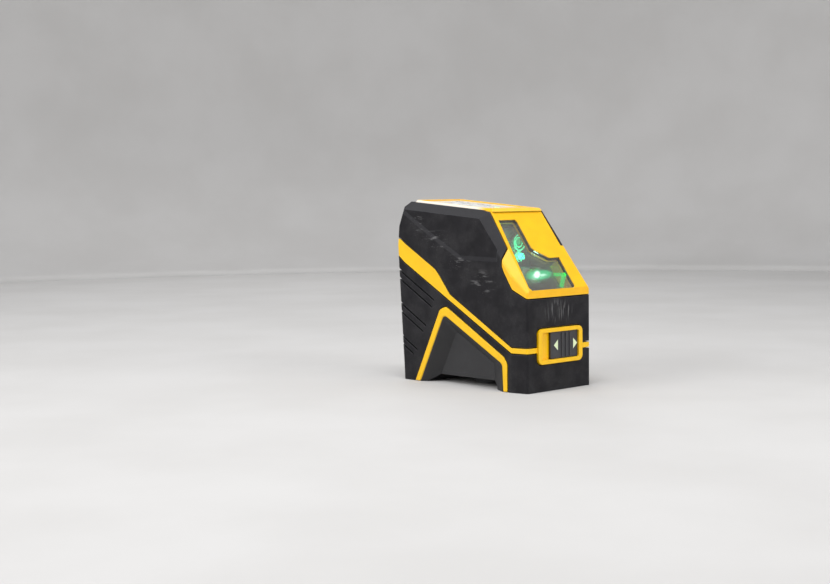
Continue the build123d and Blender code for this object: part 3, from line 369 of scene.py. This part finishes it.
def yellow(name, shade=YELLOW, edge_radius=0.4, seam_shade_mm=3.0, frame=False):
    recipe = Recipe(name)
    if frame:
        # painted light: the raised panel is painted lighter than the frame face
        shade = recipe.mix(raised_panel(recipe), YELLOW_FRAME, YELLOW_RAISED_LIT)
    colour = recipe.mix(recipe.span(recipe.noise(9.0, 3.0), 0.3, 0.7), shade,
                        recipe.mix(0.07, shade, BLACK))
    smudge = recipe.span(recipe.noise(5.0, 4.0, 0.65), 0.60, 0.78)
    colour = recipe.mix(recipe.sum("MULTIPLY", smudge, 0.14), colour, SMUDGE_BROWN)
    # edges painted pale: partly edge wear, partly painted highlight
    colour = recipe.mix(recipe.sum("MULTIPLY", recipe.edges(edge_radius), 0.45), colour, YELLOW_EDGE_WEAR_AND_HIGHLIGHT)
    if frame:
        # painted reflection: the rim's long sides turned near-white
        colour = recipe.mix(recipe.sum("MULTIPLY", rim_reflection_sides(recipe), 0.85), colour, RIM_PAINTED_REFLECTION)
    # painted shade: seams and recesses darkened by how little sky they see
    colour = recipe.mix(recipe.painted_shade(seam_shade_mm), colour, SEAM_SHADE_BROWN)
    grain = recipe.bump(recipe.noise(0.22, 2.0), 0.012, 0.4, recipe.rounded(edge_radius))
    recipe.set(Base_Color=colour, Roughness=recipe.span(smudge, 0.0, 1.0, 0.34, 0.48), Normal=grain,
               Subsurface_Weight=0.05, Subsurface_Scale=0.002, Subsurface_Radius=(1.0, 0.5, 0.1))
    return recipe


def plastic(name, colour, roughness=0.5, grain_mm=0.3, edge=0.3):
    """Plain moulded plastic with a fine spark-eroded texture, and painted shade in its crevices."""
    recipe = Recipe(name)
    lighter = [min(1.0, v * 1.35 + 0.006) for v in colour]
    base = recipe.mix(recipe.noise(6.0, 3.0), colour, lighter)
    worn = [min(1.0, v * 2.2 + 0.05) for v in colour]
    base = recipe.mix(recipe.sum("MULTIPLY", recipe.edges(edge), 0.35), base, worn)
    shaded = [v * 0.2 for v in colour]
    # painted shade: crevices darkened by how little sky they see
    base = recipe.mix(recipe.sum("MULTIPLY", recipe.painted_shade(0.8), 0.8), base, shaded)
    normal = recipe.bump(recipe.noise(grain_mm, 2.0), 0.03, 0.5, recipe.rounded(edge))
    recipe.set(Base_Color=base, Roughness=roughness, Normal=normal)
    return recipe


def metal(name, colour, roughness, brush=(1.0, 1.0, 12.0), size_mm=1.2):
    recipe = Recipe(name)
    lines = recipe.noise(size_mm, 3.0, 0.6, stretch=brush)
    tint = recipe.mix(recipe.span(lines, 0.3, 0.7), colour, [v * 0.78 for v in colour])
    worn = [min(1.0, v * 1.25 + 0.05) for v in colour]
    tint = recipe.mix(recipe.sum("MULTIPLY", recipe.edges(0.2), 0.5), tint, worn)
    normal = recipe.bump(lines, 0.01, 0.3, recipe.rounded(0.2))
    recipe.set(Base_Color=tint, Metallic=1.0, Normal=normal,
               Roughness=recipe.span(lines, 0.3, 0.7, roughness * 0.8, roughness * 1.2))
    return recipe


def glass():
    """A clear pane: mostly see-through, with a mirror gloss and a thin film of speckled dust."""
    recipe = Recipe("window_glass")
    clear = recipe.node("ShaderNodeBsdfTransparent")
    haze = recipe.span(recipe.noise(7.0, 3.0), 0.35, 0.75, 0.0, 1.0)
    recipe.feed(clear.inputs["Color"], recipe.mix(haze, PANE_CLEAR, PANE_HAZY))
    film = recipe.node("ShaderNodeBsdfDiffuse")
    recipe.feed(film.inputs["Color"], PANE_DUST)
    speckle = recipe.span(recipe.noise(0.9, 4.0, 0.7), 0.35, 0.75, 0.02, 0.12)
    dusty = recipe.node("ShaderNodeMixShader")
    recipe.feed(dusty.inputs[0], recipe.sum("ADD", speckle, recipe.sum("MULTIPLY", haze, 0.06)))
    recipe.feed(dusty.inputs[1], clear.outputs["BSDF"])
    recipe.feed(dusty.inputs[2], film.outputs["BSDF"])
    gloss = recipe.node("ShaderNodeBsdfGlossy")
    gloss.inputs["Roughness"].default_value = 0.04
    fresnel = recipe.node("ShaderNodeFresnel")
    fresnel.inputs["IOR"].default_value = 1.5
    share = recipe.sum("MULTIPLY", fresnel.outputs["Fac"], 0.55)
    mixed = recipe.node("ShaderNodeMixShader")
    recipe.feed(mixed.inputs[0], share)
    recipe.feed(mixed.inputs[1], dusty.outputs["Shader"])
    recipe.feed(mixed.inputs[2], gloss.outputs["BSDF"])
    recipe.feed(recipe.output.inputs["Surface"], mixed.outputs["Shader"])
    recipe.tree.nodes.remove(recipe.shader)
    return recipe


def glow(name, colour, strength, body=(0.6, 0.9, 0.7)):
    recipe = Recipe(name)
    spots = recipe.span(recipe.noise(0.6, 3.0), 0.35, 0.65, 0.75, 1.0)
    recipe.set(Base_Color=recipe.mix(spots, [v * 0.8 for v in body], body), Roughness=0.15,
               Emission_Color=colour, Emission_Strength=recipe.sum("MULTIPLY", spots, strength))
    return recipe


def circuit_board():
    recipe = Recipe("circuit_board")
    tracks = recipe.node("ShaderNodeTexBrick", offset=0.35, squash=0.6)
    recipe.feed(tracks.inputs["Vector"], recipe.stretched((0.5, 0.5, 0.5), (90.0, 0.0, 0.0)))
    tracks.inputs["Scale"].default_value = 1.0
    tracks.inputs["Mortar Size"].default_value = 0.03
    tracks.inputs["Brick Width"].default_value = 1.7
    tracks.inputs["Row Height"].default_value = 0.9
    recipe.feed(tracks.inputs["Color1"], BOARD_DARK)
    recipe.feed(tracks.inputs["Color2"], BOARD_GREEN)
    recipe.feed(tracks.inputs["Mortar"], BOARD_TRACK)
    recipe.set(Base_Color=tracks.outputs["Color"], Roughness=0.32,
               Normal=recipe.bump(tracks.outputs["Fac"], 0.03, 0.4))
    return recipe


def cell_jacket():
    """A plain shrink jacket: dark body with a copper-coloured shoulder at the top third."""
    recipe = Recipe("cell_jacket")
    height = recipe.node("ShaderNodeSeparateXYZ")
    recipe.feed(height.inputs[0], recipe.place())
    shoulder = recipe.span(height.outputs["Z"], *[v * MM for v in JACKET_SHOULDER])
    colour = recipe.mix(shoulder, JACKET_DARK, JACKET_COPPER)
    wrinkle = recipe.noise(1.5, 3.0, stretch=(1.0, 1.0, 0.2))
    recipe.set(Base_Color=colour, Roughness=0.25, Metallic=0.3,
               Normal=recipe.bump(wrinkle, 0.02, 0.3))
    return recipe


def dress_nodes():
    soft = rubber()
    paint(soft, "lower_overmould", "upper_overmould", "battery_door")
    paint(yellow("yellow_shell"), "lower_housing", "arch_trim_left", "arch_trim_right")
    paint(yellow("yellow_frame", frame=True), "window_frame")
    # painted shade: the upper housing, yellow plastic under the skins, is painted dark so the seams over it
    # read as shadow
    paint(plastic("housing_painted_dark", (0.20, 0.11, 0.012), 0.55), "upper_housing")
    paint(plastic("pocket_liner", (0.019, 0.019, 0.021), 0.58), "side_pocket_left",
          "side_pocket_right", "base_plate")
    paint(plastic("gasket_rubber", (0.010, 0.008, 0.006), 0.6), "window_gasket")
    paint(plastic("keypad_panel", (0.64, 0.64, 0.62), 0.18, 0.5, 0.25), "keypad_panel")
    paint(plastic("button_caps", (0.56, 0.56, 0.55), 0.26, 0.5, 0.35), "keypad_button_1", "keypad_button_2")
    paint(glow("lamp_lens", (0.05, 0.9, 0.2), 0.6), "status_lamp")
    paint(glow("led_body", (0.3, 1.0, 0.4), 2.0), "status_led")
    paint(plastic("slider_plastic", (0.030, 0.030, 0.034), 0.42, 0.25, 0.3), "slider_knob", "slider_carriage")
    paint(plastic("arrow_paint", (0.64, 0.76, 0.48), 0.5), "slider_arrows")
    paint(plastic("tray_plastic", (0.018, 0.018, 0.020), 0.5), "battery_tray")
    paint(plastic("brake_rubber", (0.02, 0.02, 0.02), 0.7), "brake_pad")
    paint(circuit_board(), "main_board", "keypad_board")
    paint(cell_jacket(), "battery_cells")
    paint(metal("lever_steel", (0.60, 0.60, 0.62), 0.34, (1.0, 8.0, 1.0)), "lock_lever")
    paint(metal("cast_frame", (0.50, 0.51, 0.53), 0.48, (1.0, 1.0, 1.0), 0.4), "gimbal_bracket",
          "gimbal_ring")
    paint(metal("pendulum_alloy", (0.55, 0.56, 0.57), 0.42, (1.0, 1.0, 1.0), 0.3), "pendulum_body")
    paint(metal("damper_alloy", (0.62, 0.63, 0.65), 0.30, (8.0, 1.0, 1.0)), "damper_plate")
    paint(metal("brass", (0.62, 0.45, 0.16), 0.28), "tripod_insert", "counterweight")
    paint(metal("module_brass", (0.52, 0.40, 0.18), 0.26, (8.0, 8.0, 1.0)), "vertical_line_module",
          "horizontal_line_module")
    paint(metal("bright_steel", (0.66, 0.67, 0.69), 0.22), "outer_bearings", "inner_bearings",
          "ring_pivot_pins", "pendulum_pivot_pins", "door_hinge_pin", "tact_switches")
    paint(metal("screw_steel", (0.48, 0.48, 0.50), 0.30), "housing_screws", "bracket_screws",
          "module_clamp_screws", "damper_screws")
    paint(metal("nickel", (0.70, 0.68, 0.63), 0.24), "damping_magnets", "battery_contacts")
    paint(glass(), "window_lens")
    paint(glow("bright_optic", (0.45, 1.0, 0.72), 14.0), "horizontal_rod_lens")
    paint(glow("soft_optic", GREEN_GLOW, 0.25, (0.25, 0.5, 0.4)), "vertical_line_lens")


# ---------------------------------------------------------------- added pieces
def mesh_piece(name, mesh, recipe, body, matrix=None):
    """A new piece from a bmesh built in millimetres, riding on a CAD body."""
    mesh.transform(matrix or Matrix.Identity(4))
    mesh.transform(Matrix.Scale(MM, 4))
    bmesh.ops.recalc_face_normals(mesh, faces=mesh.faces)
    data = bpy.data.meshes.new(name)
    mesh.to_mesh(data)
    mesh.free()
    data.materials.append(recipe.material)
    made = bpy.data.objects.new(name, data)
    bpy.context.scene.collection.objects.link(made)
    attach(made, body)
    return made


def soften(made, width_mm):
    bevel = made.modifiers.new("soft_edges", "BEVEL")
    bevel.width = width_mm * MM
    bevel.segments = 2
    bevel.limit_method = "ANGLE"
    return made


def prism(mesh, outline, low, high):
    """An (x, y) outline carried from low to high in z."""
    bottom = [mesh.verts.new((x, y, low)) for x, y in outline]
    top = [mesh.verts.new((x, y, high)) for x, y in outline]
    mesh.faces.new(bottom[::-1])
    mesh.faces.new(top)
    for i in range(len(outline)):
        j = (i + 1) % len(outline)
        mesh.faces.new((bottom[i], bottom[j], top[j], top[i]))


def bar(mesh, start, end, width, low, high):
    start, end = Vector(start), Vector(end)
    side = (end - start).normalized().orthogonal() * width / 2
    prism(mesh, [start + side, start - side, end - side, end + side], low, high)


def arc_band(mesh, radius, width, from_deg, to_deg, low, high):
    steps = 24
    angles = [math.radians(from_deg + (to_deg - from_deg) * i / steps) for i in range(steps + 1)]
    reach_out, reach_in = radius + width / 2, radius - width / 2
    outer = [(reach_out * math.cos(a), reach_out * math.sin(a)) for a in angles]
    inner = [(reach_in * math.cos(a), reach_in * math.sin(a)) for a in angles]
    prism(mesh, outer + inner[::-1], low, high)


def hoop(mesh, centre, radius, tube):
    """A ring whose axis runs along Y."""
    around, section = 48, 10
    rows = []
    for i in range(around):
        turn = 2 * math.pi * i / around
        row = []
        for j in range(section):
            angle = 2 * math.pi * j / section
            reach = radius + tube * math.cos(angle)
            x = centre[0] + reach * math.cos(turn)
            y = centre[1] + tube * math.sin(angle)
            z = centre[2] + reach * math.sin(turn)
            row.append(mesh.verts.new((x, y, z)))
        rows.append(row)
    for i in range(around):
        this, after = rows[i], rows[(i + 1) % around]
        for j in range(section):
            k = (j + 1) % section
            mesh.faces.new((this[j], after[j], after[k], this[k]))


def on_key(place):
    """From a flat drawing to the top of a key."""
    along = Vector((0, math.cos(TOP_ANGLE), math.sin(TOP_ANGLE)))
    up = Vector((0, -math.sin(TOP_ANGLE), math.cos(TOP_ANGLE)))
    origin = Vector((0, 0, TOP_HEIGHT)) + along * place + up * KEY_TOP
    return Matrix.Translation(origin) @ Matrix.Rotation(TOP_ANGLE, 4, "X")


def key_marks():
    """Generic printed marks: crossed lines on one key, a switch sign on the other."""
    ink = plastic("key_print", (0.05, 0.05, 0.055), 0.45, 0.3, 0.1)
    cross = bmesh.new()
    near, far = 0.9, 2.9
    arms = (((-far, 0), (-near, 0)), ((near, 0), (far, 0)), ((0, -far), (0, -near)), ((0, near), (0, far)))
    for start, end in arms:
        bar(cross, start, end, 0.45, 0.0, INK_HEIGHT)
    arc_band(cross, 0.75, 0.35, 0, 350, 0.0, INK_HEIGHT)
    mesh_piece("key_mark_lines", cross, ink, "button_front", on_key(KEY_PLACES["button_front"]))
    switch = bmesh.new()
    arc_band(switch, 2.2, 0.5, 125, 415, 0.0, INK_HEIGHT)
    bar(switch, (0, 0.6), (0, 3.0), 0.5, 0.0, INK_HEIGHT)
    mesh_piece("key_mark_switch", switch, ink, "button_rear", on_key(KEY_PLACES["button_rear"]))


def door_ridges():
    """Three finger ridges under the notch of the battery door."""
    recipe = rubber()
    for number, height in enumerate(RIDGE_HEIGHTS, start=1):
        ridge = bmesh.new()
        bar(ridge, (-RIDGE_HALF_LENGTH, 0.0), (RIDGE_HALF_LENGTH, 0.0), RIDGE_WIDTH, 0.0, RIDGE_RISE)
        turn = Matrix.Translation((0, DOOR_FACE_Y, height)) @ Matrix.Rotation(math.radians(-90), 4, "X")
        soften(mesh_piece(f"door_ridge_{number}", ridge, recipe, "door", turn), 0.45)


def laser_trace():
    """Where the two laser fans fall on the tunnel's right wall: a level line, then one running down."""
    recipe = glow("laser_trace", GREEN_LINE, 0.95, (0.02, 0.4, 0.06))
    mesh = bmesh.new()
    bar(mesh, *LEVEL_TRACE, LEVEL_TRACE_WIDTH, 0.0, TRACE_RISE)
    bar(mesh, *FALLING_TRACE, FALLING_TRACE_WIDTH, 0.0, TRACE_RISE)
    stand = Matrix(((0, 0, -1, RIGHT_WALL_X), (1, 0, 0, 0), (0, 1, 0, 0), (0, 0, 0, 1)))
    soften(mesh_piece("laser_trace", mesh, recipe, "housing", stand), 0.03)


def haze_material():
    """Light with no surface: white-green at the rod lens and thinning to both sides."""
    recipe = Recipe("beam_haze")
    streak = recipe.near((-0.5, LOWER_OPTIC[1], LOWER_OPTIC[2]), (16.0, 4.0, 4.0), 0.65)
    lobe = recipe.near((-3.0, LOWER_OPTIC[1], LOWER_OPTIC[2] + 0.8), (5.5, 4.0, 4.6), 0.8)
    core = recipe.near((-2.6, LOWER_OPTIC[1], LOWER_OPTIC[2] + 0.3), (4.0, 4.0, 2.9), 0.7)
    tail = recipe.near((2.0, LOWER_OPTIC[1], LOWER_OPTIC[2] - 0.3), (6.0, 4.0, 1.3), 0.9)
    core = recipe.sum("MAXIMUM", core, recipe.sum("MULTIPLY", tail, 0.6))
    grain = recipe.span(recipe.noise(1.6, 3.0, stretch=(0.3, 1.0, 1.0)), 0.25, 0.75, 0.55, 1.0)
    lit = recipe.sum("ADD", recipe.sum("MULTIPLY", recipe.sum("MAXIMUM", streak, lobe), grain), core)
    amount = recipe.span(lit, 0.0, 0.75)
    emission = recipe.node("ShaderNodeEmission")
    recipe.feed(emission.inputs["Color"], recipe.mix(core, HAZE_GREEN, HAZE_WHITE))
    recipe.feed(emission.inputs["Strength"], recipe.span(core, 0.0, 1.0, 2.3, 3.8))
    clear = recipe.node("ShaderNodeBsdfTransparent")
    mixed = recipe.node("ShaderNodeMixShader")
    recipe.feed(mixed.inputs[0], amount)
    recipe.feed(mixed.inputs[1], clear.outputs["BSDF"])
    recipe.feed(mixed.inputs[2], emission.outputs["Emission"])
    recipe.feed(recipe.output.inputs["Surface"], mixed.outputs["Shader"])
    recipe.tree.nodes.remove(recipe.shader)
    return recipe


def beam_haze():
    """A slightly curved sheet across the lower beam, which carries its lit haze."""
    mesh = bmesh.new()
    columns, rows = 12, 4
    grid = []
    for j in range(rows + 1):
        z = LOWER_OPTIC[2] - HAZE_DROP + HAZE_HEIGHT * j / rows
        row = []
        for i in range(columns + 1):
            x = HAZE_LEFT_X + HAZE_WIDTH * i / columns
            y = LOWER_OPTIC[1] + HAZE_CURVE * (i - columns // 2) ** 2
            row.append(mesh.verts.new((x, y, z)))
        grid.append(row)
    for low, high in zip(grid, grid[1:]):
        for i in range(columns):
            mesh.faces.new((low[i], low[i + 1], high[i + 1], high[i]))
    mesh_piece("beam_haze", mesh, haze_material(), "pendulum")


def optic_rings():
    """Bezels of the upper laser module, with a painted glow for the light of its own beam, and the cut-glass
    prism under it, with a painted glint of the same light.
    """
    # painted glow: the bezels are given their own light
    lit = glow("lit_bezel", (0.08, 1.0, 0.50), 1.3, (0.55, 0.85, 0.7))
    mesh = bmesh.new()
    hoop(mesh, UPPER_OPTIC, *OUTER_BEZEL)
    hoop(mesh, (UPPER_OPTIC[0], UPPER_OPTIC[1] + BEZEL_STEP, UPPER_OPTIC[2]), *INNER_BEZEL)
    made = mesh_piece("module_bezels", mesh, lit, "pendulum")
    for face in made.data.polygons:
        face.use_smooth = True
    cut = bmesh.new()
    bmesh.ops.create_icosphere(cut, subdivisions=1, radius=1.0)
    turn = Matrix.Rotation(PRISM_TURN, 4, "Y")
    shape = Matrix.Translation(PRISM_PLACE) @ turn @ Matrix.Diagonal((*PRISM_REACH, 1))
    # painted glint: the prism glows with the laser's light
    bright = glow("lit_prism", (0.12, 1.0, 0.5), 1.1, (0.5, 0.9, 0.7))
    soften(mesh_piece("line_prism", cut, bright, "pendulum", shape), 0.15)


def module_leads():
    """Two thin leads from the upper module, down inside the gimbal ring to the foot of the casting."""
    for name, colour, shift in (("lead_red", LEAD_RED, 0.0), ("lead_black", LEAD_BLACK, LEAD_SPACING)):
        line = bpy.data.curves.new(name, "CURVE")
        line.dimensions = "3D"
        line.bevel_depth = LEAD_RADIUS * MM
        line.bevel_resolution = 3
        spline = line.splines.new("BEZIER")
        points = ((-3.0 - shift, -1.4, 88.0), (-3.2 - shift, -1.2, 84.0), (-3.2 - shift, -1.3, 76.0),
                  (-3.4 - shift, -3.6, 69.5))
        spline.bezier_points.add(len(points) - 1)
        for knot, point in zip(spline.bezier_points, points):
            knot.co = Vector(point) * MM
            knot.handle_left_type = "AUTO"
            knot.handle_right_type = "AUTO"
        line.materials.append(plastic(name, colour, 0.4, 0.2, 0.05).material)
        made = bpy.data.objects.new(name, line)
        bpy.context.scene.collection.objects.link(made)
        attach(made, "pendulum")


def add_pieces():
    key_marks()
    door_ridges()
    laser_trace()
    beam_haze()
    optic_rings()
    module_leads()


# ---------------------------------------------------------------- light, floor and camera
def bowl():
    """A pale floor that curves up into a plain backdrop all round."""
    profile = [(FLOOR_RADIUS, 0.0)]
    for step in range(1, BEND_STEPS + 1):
        angle = math.radians(90 * step / BEND_STEPS)
        profile.append((FLOOR_RADIUS + WALL_BEND * math.sin(angle), WALL_BEND * (1 - math.cos(angle))))
    profile.append((FLOOR_RADIUS + WALL_BEND, WALL_TOP))
    turns = [2 * math.pi * i / ROUND_STEPS for i in range(ROUND_STEPS)]
    mesh = bmesh.new()
    rings = []
    for radius, height in profile:
        rings.append([mesh.verts.new((radius * math.cos(a), radius * math.sin(a), height)) for a in turns])
    mesh.faces.new(rings[0])
    for low, high in zip(rings, rings[1:]):
        for i in range(ROUND_STEPS):
            j = (i + 1) % ROUND_STEPS
            mesh.faces.new((low[i], low[j], high[j], high[i]))
    data = bpy.data.meshes.new("studio_floor")
    mesh.to_mesh(data)
    mesh.free()
    for face in data.polygons:
        face.use_smooth = len(face.vertices) == 4
    floor = bpy.data.objects.new("studio_floor", data)
    floor.location.z = -FLOOR_DROP
    bpy.context.scene.collection.objects.link(floor)
    recipe = Recipe("studio_floor")
    tone = recipe.mix(recipe.span(recipe.noise(120.0, 4.0), 0.3, 0.7), FLOOR_LIGHT, FLOOR_DARK)
    recipe.set(Base_Color=tone, Roughness=0.75, Specular_IOR_Level=0.2)
    data.materials.append(recipe.material)


def lamp(name, place, size, power):
    data = bpy.data.lights.new(name, "AREA")
    data.shape = "DISK"
    data.size = size
    data.energy = power
    made = bpy.data.objects.new(name, data)
    made.location = place
    made.rotation_euler = (Vector(LAMP_TARGET) - Vector(place)).to_track_quat("-Z", "Y").to_euler()
    bpy.context.scene.collection.objects.link(made)


def studio():
    bowl()
    world = bpy.data.worlds.new("studio")
    world.use_nodes = True
    sky = world.node_tree.nodes["Background"]
    sky.inputs["Color"].default_value = SKY
    sky.inputs["Strength"].default_value = SKY_STRENGTH
    bpy.context.scene.world = world
    for name, place, size, power in LAMPS:
        lamp(name, place, size, power)
    inner = bpy.data.lights.new("laser_spill", "POINT")
    inner.energy = SPILL_POWER
    inner.color = LASER_SPILL
    inner.shadow_soft_size = SPILL_RADIUS
    spill = bpy.data.objects.new("laser_spill", inner)
    spill.location = SPILL_PLACE
    bpy.context.scene.collection.objects.link(spill)
    bpy.context.scene.view_settings.view_transform = "Standard"


def camera():
    azimuth, elevation, roll = [math.radians(v) for v in CAMERA_ANGLES]
    level = math.cos(elevation)
    back = Vector((math.sin(azimuth) * level, -math.cos(azimuth) * level, math.sin(elevation)))
    right = (-back).cross(Vector((0, 0, 1))).normalized()
    up = right.cross(-back)
    turned_right = right * math.cos(roll) + up * math.sin(roll)
    turned_up = up * math.cos(roll) - right * math.sin(roll)
    data = bpy.data.cameras.new("camera")
    data.lens = CAMERA_LENS
    data.sensor_width = 36.0
    data.clip_start = 0.01
    made = bpy.data.objects.new("camera", data)
    facing = Matrix((turned_right, turned_up, back)).transposed().to_4x4()
    made.matrix_world = Matrix.Translation(CAMERA_PLACE) @ facing
    bpy.context.scene.collection.objects.link(made)
    bpy.context.scene.camera = made


dress_nodes()
add_pieces()
studio()
camera()
